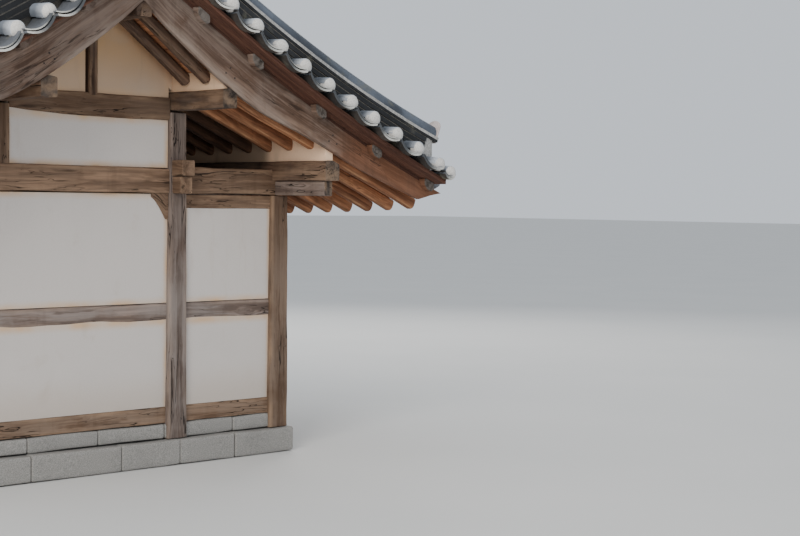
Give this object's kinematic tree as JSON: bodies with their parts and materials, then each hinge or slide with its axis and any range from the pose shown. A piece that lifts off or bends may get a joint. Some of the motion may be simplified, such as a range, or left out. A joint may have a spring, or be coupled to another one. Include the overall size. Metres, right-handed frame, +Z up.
{
  "type": "tile-roofed timber house",
  "caption": "Small Korean timber-frame house with plastered gable walls, an open porch along one side and a curved gable roof of dark tiles.",
  "frame": {"origin": "centre of the plan at ground level, under the ridge line", "axes": "+Z up; Y along the ridge, with the front gable at -Y; +X towards the porch side"},
  "size_m": [7.4, 8.44, 5.29],
  "materials": {
    "timber": "weathered, unpainted, grey-brown",
    "rafter_timber": "oiled, orange-brown",
    "plaster": "matte lime plaster, light grey",
    "stone": "rough dressed granite",
    "roof_tile": "unglazed dark grey fired clay"
  },
  "bodies": {
    "root": {"back_attic_wall": "plaster", "back_left_bargeboard": "timber", "back_left_column": "timber", "back_left_slope_ridge": "roof_tile", "back_main_beam": "timber", "back_porch_column": "timber", "back_porch_wall": "plaster", "back_queen_post": "timber", "back_ridge_post": "timber", "back_right_bargeboard": "timber", "back_right_slope_ridge": "roof_tile", "back_room_wall": "plaster", "back_tall_column": "timber", "back_tie_beam": "timber", "back_top_wall": "plaster", "back_upper_beam": "timber", "floor_platform": "timber", "foundation": "stone", "front_attic_wall": "plaster", "front_left_bargeboard": "timber", "front_left_column": "timber", "front_left_slope_ridge": "roof_tile", "front_main_beam": "timber", "front_porch_column": "timber", "front_porch_wall": "plaster", "front_queen_post": "timber", "front_ridge_post": "timber", "front_right_bargeboard": "timber", "front_right_slope_ridge": "roof_tile", "front_room_wall": "plaster", "front_tall_column": "timber", "front_tie_beam": "timber", "front_top_wall": "plaster", "front_upper_beam": "timber", "left_eave_purlin": "timber", "left_middle_purlin": "timber", "left_rafters_and_deck": "rafter_timber", "left_tile_field": "roof_tile", "left_wall_back_bay": "plaster", "left_wall_front_bay": "plaster", "long_tie": "timber", "main_ridge": "roof_tile", "mid_rails": "timber", "middle_left_column": "timber", "middle_main_beam": "timber", "middle_porch_column": "timber", "middle_queen_post": "timber", "middle_ridge_post": "timber", "middle_tall_column": "timber", "middle_tie_beam": "timber", "middle_upper_beam": "timber", "porch_wall_front_bay": "plaster", "porch_wall_front_top": "plaster", "ridge_purlin": "timber", "right_eave_purlin": "timber", "right_middle_purlin": "timber", "right_rafters_and_deck": "rafter_timber", "right_tile_field": "roof_tile"}
  },
  "joints": []
}
